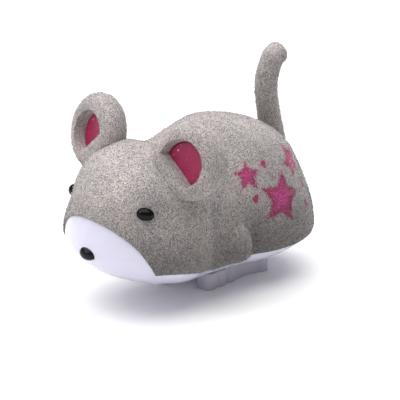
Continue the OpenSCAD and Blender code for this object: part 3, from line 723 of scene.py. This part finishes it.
def build_bead(node, name, long, r, turn):
    """A smooth oval bead centred on the CAD bead, its long axis turned as the CAD turns it."""
    low, high = [np.array(c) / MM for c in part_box(node)]
    axis, side = turn
    other = np.cross(axis, side)

    def place(points):
        return (low + high) / 2 + points @ np.stack([side, other, axis])

    t = np.linspace(-np.pi / 2, np.pi / 2, 41)
    profile = [[r * math.cos(a), long * math.sin(a)] for a in t]
    profile[0][0] = profile[-1][0] = 0
    return lathe(profile, 72, name, place)


def turned(z_turn, lean):
    """The long and cross axes of an eye bead laid along X, leant and then turned about Z."""
    a, b = math.radians(z_turn), math.radians(lean)
    axis = np.array([math.cos(a) * math.cos(b), math.sin(a) * math.cos(b), math.sin(b)])
    side = unit(np.cross([0, 0, 1], axis))
    return axis, side


# ---- Tray ---------------------------------------------------------------------------------
CRANK_Y, CRANK_THROW, UPRIGHT_HALF, SLOT_GAP = 4.0, 1.5, 2.1, 0.3
UPRIGHT_X = (3.75, 4.45)


def tray_surface(arch, flank, rows, d, z):
    h, seam = seam_columns(arch, flank)
    high, low = rise_at(h, seam - FIT, d), rise_at(h, z, d)
    t = np.linspace(0, 1, rows)[:, None]
    points = skin(np.broadcast_to(h, (rows, len(h))), high + (low - high) * t, d)
    points[-1, :, 2] = z
    return points


def build_tray():
    arch, flank, rows = 96, 260, 44
    n = arch + flank
    outer = tray_surface(arch, flank, rows, FLOCK, BELLY_Z)
    inner = tray_surface(arch, flank, rows, FLOCK + TRAY_WALL, FLOOR_Z)
    # the bottom edge is rounded into the floor
    centre = np.array([0, MID_Y, BELLY_Z])
    edge = outer[-1]
    pulled = edge + 0.35 * (centre - edge) / np.linalg.norm(centre - edge, axis=1)[:, None]
    outer[-1] = edge + [0, 0, 0.18]
    rings = np.concatenate([inner[::-1], outer, pulled[None]])
    count = len(rings)
    points = np.concatenate([rings.reshape(-1, 3), [[0, MID_Y, FLOOR_Z], [0, MID_Y, BELLY_Z]]])
    faces = ring_faces(count, n)
    last = (count - 1) * n
    for i in range(n):
        k = (i + 1) % n
        faces += [(k, i, count * n), (last + i, last + k, count * n + 1)]
    obj = new_object("muzzle_tray", points, faces)
    outward(obj)
    half = CRANK_THROW + UPRIGHT_HALF + SLOT_GAP
    cutters = []
    for side in (-1, 1):
        x0, x1 = UPRIGHT_X[0] - SLOT_GAP, UPRIGHT_X[1] + SLOT_GAP
        outline = [
            (side * x0, CRANK_Y - half), (side * x1, CRANK_Y - half),
            (side * x1, CRANK_Y + half), (side * x0, CRANK_Y + half),
        ]
        cutters.append(prism(outline, BELLY_Z - 1, FLOOR_Z + 1, "z", "slot"))
    low, high = [np.array(c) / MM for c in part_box("case_screws")]
    head_r, seat_r, hole_r, front_x = 1.18, 1.22, 0.66, 4.2
    places = [(side * (high[0] - head_r), high[1] - head_r) for side in (-1, 1)]
    places += [(side * front_x, low[1] + head_r) for side in (-1, 1)]
    low, high = [np.array(c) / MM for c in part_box("mounting_screws")]
    places += [(0, low[1] + head_r), (0, high[1] - head_r)]
    for at in places:
        cutters.append(disc(at, seat_r, BELLY_Z - 1, BELLY_Z + 0.6, "z", "seat"))
        cutters.append(disc(at, hole_r, BELLY_Z - 1, FLOOR_Z + 1, "z", "hole", 24))
    cut(obj, cutters)
    obj.data.polygons.foreach_set("use_smooth", [True] * len(obj.data.polygons))
    obj.data.set_sharp_from_angle(angle=math.radians(35))
    return obj


# ---- Feet -----------------------------------------------------------------------------------
FOOT_LEN, FOOT_H, FOOT_IN = 14.9, 2.9, 2.2
CRANK_EYE_R, GUIDE_EYE_R, GUIDE_RISE, RING_R = 0.55, 2.1, 4, 2.85


def sole_outline():
    return (
        [[FOOT_IN, 0.3], [FOOT_IN + 0.4, 0]]
        + arc((3.7, 1.5), 1.5, -90, -10, 8)
        + arc((3.6, 3.6), 1.5, -35, 35, 8)
        + arc((3.5, 6.1), 1.4, -40, 40, 8)
        + [[4.35, 8.2], [4.2, 9.6], [4.35, 10.7]]
        + arc((3.9, FOOT_LEN - 1.3), 1.3, -50, 90, 10)
        + [[FOOT_IN + 0.5, FOOT_LEN], [FOOT_IN, FOOT_LEN - 0.5]]
    )


def build_foot(side, mirror):
    """A walking foot: a scalloped sole and a thin upright with its two eyes."""
    low, high = [np.array(c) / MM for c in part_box(f"{side}_foot")]
    shift = CRANK_THROW * mirror
    outline = [[mirror * x, low[1] + y] for x, y in sole_outline()]
    sole = prism(outline, 0, FOOT_H, "z", "sole")
    bevelled(sole, 0.16, 3, 50)
    crank_z, pin_y = float(high[2]) - RING_R - GUIDE_RISE, CRANK_Y + shift
    plate = (
        [[pin_y - UPRIGHT_HALF, FOOT_H - 0.5], [pin_y + UPRIGHT_HALF, FOOT_H - 0.5]]
        + [[pin_y + UPRIGHT_HALF, crank_z + 2]]
        + arc((pin_y, crank_z + GUIDE_RISE), RING_R, -30, 210, 40)
        + [[pin_y - UPRIGHT_HALF, crank_z + 2]]
    )
    x = sorted(mirror * v for v in UPRIGHT_X)
    upright = prism(plate, x[0], x[1], "x", "upright")
    cut(
        upright,
        [
            disc((pin_y, crank_z), CRANK_EYE_R, x[0] - 1, x[1] + 1, "x", "eye", 32),
            disc((pin_y, crank_z + GUIDE_RISE), GUIDE_EYE_R, x[0] - 1, x[1] + 1, "x", "eye", 64),
        ],
    )
    bevelled(upright, 0.1, 2, 50)
    return joined(f"foot_{side}_skin", [sole, upright])


# ---- Winding key ---------------------------------------------------------------------------------
def build_key():
    low, high = [np.array(c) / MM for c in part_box("winding_knob")]
    y, z = (low[1] + high[1]) / 2, (low[2] + high[2]) / 2
    end, neck = float(low[0]), float(high[0])
    wing, thick = float(high[1] - low[1]) / 2, float(high[2] - low[2])
    r, neck_long, bore_r = 1.6, 2.2, 0.96
    shoulder = neck - neck_long
    outline = (
        [[neck, -2], [shoulder, -2]]
        + arc((shoulder - r, -wing + r), r, -45, -90, 8)
        + arc((end + r, -wing + r), r, -90, -180, 12)
        + arc((end + r, wing - r), r, 180, 90, 12)
        + arc((shoulder - r, wing - r), r, 90, 45, 8)
        + [[shoulder, 2], [neck, 2]]
    )
    outline = [[a, y + b] for a, b in outline]
    key = prism(outline, z - thick / 2, z + thick / 2, "z", "winding_key")
    cut(key, [disc((y, z), bore_r, end + 2, neck + 1, "x", "bore", 48)])
    bevelled(key, 0.55, 4, 50)
    return key


# ---- The pieces ------------------------------------------------------------------------------------
def on_left(points):
    """Places folded over to the left half."""
    return np.column_stack([np.abs(points[:, 0]), points[:, 1:]])


def far_from(points, centre, r):
    return np.linalg.norm(points - np.asarray(centre), axis=1) > r


def outside_ear(points, margin):
    """True where a place isn't within either ear."""
    local = (on_left(points) - ear_centre) @ np.stack([ear_side, ear_up, ear_face]).T
    within = np.hypot(local[:, 0], local[:, 1]) < EAR_R + margin
    return ~(within & (np.abs(local[:, 2]) < EAR_T / 2 + margin))


eye_centre = box_centre("left_eye")
knob_at = box_centre("winding_arbor")
ARBOR_HOLE_R = 1.35


def body_keep(points):
    """Where the body's outer skin takes fibres: clear of ears, eyes, tail and the knob's hole."""
    keep = outside_ear(points, -0.25) & far_from(on_left(points), eye_centre, 1.15)
    keep &= far_from(points[:, [0, 1]], [0, tail_at[1]], 2.0) | (points[:, 2] < 15)
    from_knob = np.hypot(points[:, 1] - knob_at[1], points[:, 2] - knob_at[2])
    return keep & ((from_knob > ARBOR_HOLE_R + 0.1) | (points[:, 0] > 0))


hole = disc(knob_at[1:], ARBOR_HOLE_R, -HALF_W - 3, -HALF_W / 2, "x", "arbor_hole")
cut(shell, [hole])
shell.data.polygons.foreach_set("use_smooth", [True] * len(shell.data.polygons))
shell.data.set_sharp_from_angle(angle=math.radians(50))


def outer_source():
    """The shell's outer skin alone, for laying the pile on."""
    rings = with_paw(shell_rings(90, 360, 110, 0.0))
    n = rings.shape[1]
    points = np.concatenate([rings.reshape(-1, 3), [skin(0, 90)]])
    faces = ring_faces(len(rings), n)
    last = (len(rings) - 1) * n
    faces += [(last + i, last + (i + 1) % n, len(points) - 1) for i in range(n)]
    return new_object("outer_source", points, faces)


source = outer_source()
centre = Vector((0, MID_Y * MM, 12 * MM))
flip = sum((p.center - centre).dot(p.normal) for p in source.data.polygons) < 0
if flip:
    source.data.flip_normals()
body_pile = pile("body_pile", source, *PILE, 11, body_keep)
bpy.data.objects.remove(source)
finish_piece(shell, flock_body, "case", "grey_flock", "upper_shell")
finish_piece(body_pile, flock_body, "case", "grey_flock")

for side, mirror in (("left", 1), ("right", -1)):
    ear = build_ear(side, mirror)

    def ear_keep(points, mirror=mirror):
        local = (points * [mirror, 1, 1] - ear_centre) @ np.stack([ear_side, ear_up, ear_face]).T
        v = local[:, 1] + HOLLOW_DROP
        in_hollow = (np.hypot(local[:, 0], v) < LINING_R + 0.3) & (v > -HOLLOW_FOOT - 0.3)
        in_hollow &= local[:, 2] > 0
        return (local[:, 1] > EAR_FOOT + 0.3) & ~in_hollow

    ear_pile = pile(f"ear_pile_{side}", ear, *PILE, 20 + mirror, ear_keep)
    finish_piece(ear, flock_plain, "case", "grey_flock", f"{side}_ear")
    finish_piece(ear_pile, flock_plain, "case", "grey_flock")
    lining = build_lining(side, mirror)
    finish_piece(lining, ear_lacquer, "case", "ear_lining", f"{side}_ear_lining")
    axis, cross = turned(EYE_TURN, -EYE_TILT)
    flipped = (axis * [mirror, 1, 1], cross * [mirror, 1, 1])
    eye = build_bead(f"{side}_eye", f"eye_bead_{side}", EYE_LONG, EYE_R, flipped)
    finish_piece(eye, black_bead, "case", "black_bead", f"{side}_eye")
    foot = build_foot(side, mirror)
    finish_piece(foot, foot_plastic, f"{side}_foot", "foot_plastic", f"{side}_foot")

tail = build_tail()
tail_pile = pile("tail_pile", tail, *PILE, 31, lambda p: p[:, 2] > tail_at[2] - 1.5)
finish_piece(tail, flock_plain, "case", "grey_flock", "tail")
finish_piece(tail_pile, flock_plain, "case", "grey_flock")

nose = build_bead("nose", "nose_bead", NOSE_LONG, NOSE_R, (np.array([1.0, 0, 0]), np.array([0, 1.0, 0])))
finish_piece(nose, nose_bead_material, "case", "black_bead", "nose")
tray = build_tray()
finish_piece(tray, white_shell, "case", "white_plastic", "base_tray")
key = build_key()
finish_piece(key, white_shell, "winder", "knob_plastic", "winding_knob")

finishes = {
    nylon: [
        "movement_frame", "movement_cover", "main_gear", "second_gear", "crank_pinion",
        "left_crank", "right_crank",
    ],
    steel: [
        "movement_screws", "mounting_screws", "case_screws", "winding_arbor", "crank_axle",
        "second_gear_pin", "star_wheel_pin", "pallet_pin", "ratchet_wheel",
    ],
    spring_steel: ["mainspring"],
    brass: ["click", "star_wheel", "pallet"],
}
for material, names in finishes.items():
    for node in names:
        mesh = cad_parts[node].data
        mesh.materials.clear()
        mesh.materials.append(material)

# ---- Floor, light and camera ------------------------------------------------------------------------
floor = new_object("floor", [(-900, -900, 0), (900, -900, 0), (900, 900, 0), (-900, 900, 0)], [(0, 1, 2, 3)])
ground = Shader("pale_floor", Roughness=0.9, Specular_IOR_Level=0.1)
wide_noise = ground.noise(60.0, 2.0)
tone = ground.range(wide_noise, 0.3, 0.7)
ground.set(Base_Color=ground.mix(tone, linear(250, 250, 250), linear(253, 253, 253)))
floor.data.materials.append(ground.material)


def area_light(name, at, toward, size, power, colour=(1, 1, 1)):
    data = bpy.data.lights.new(name, "AREA")
    data.shape, data.size, data.energy, data.color = "DISK", size, power, colour
    obj = bpy.data.objects.new(name, data)
    obj.location = at
    obj.rotation_euler = (Vector(toward) - Vector(at)).to_track_quat("-Z", "Y").to_euler()
    bpy.context.scene.collection.objects.link(obj)


middle = (0, 0, 0.014)
area_light("overhead", (-0.08, 0.0, 0.5), middle, 0.95, 5.4)
area_light("front_left", (-0.2, -0.5, 0.34), middle, 0.3, 0.7)

world = bpy.data.worlds.new("studio")
world.use_nodes = True
back = world.node_tree.nodes["Background"]
back.inputs["Color"].default_value = (1, 1, 1, 1)
back.inputs["Strength"].default_value = 0.4
bpy.context.scene.world = world
bpy.context.scene.view_settings.view_transform = "Standard"

camera_data = bpy.data.cameras.new("camera")
camera = bpy.data.objects.new("camera", camera_data)
aim = Vector((0.35, 0.35, 14.17)) * MM
toward_camera = Vector((0.6667, -0.6667, 0.3333)).normalized()
distance = 0.5
camera.location = aim + toward_camera * distance
camera.rotation_euler = (-toward_camera).to_track_quat("-Z", "Y").to_euler()
camera_data.sensor_width = 36
camera_data.lens = 36 * distance / 0.066
camera_data.clip_start, camera_data.clip_end = 0.01, 10
bpy.context.scene.collection.objects.link(camera)
bpy.context.scene.camera = camera
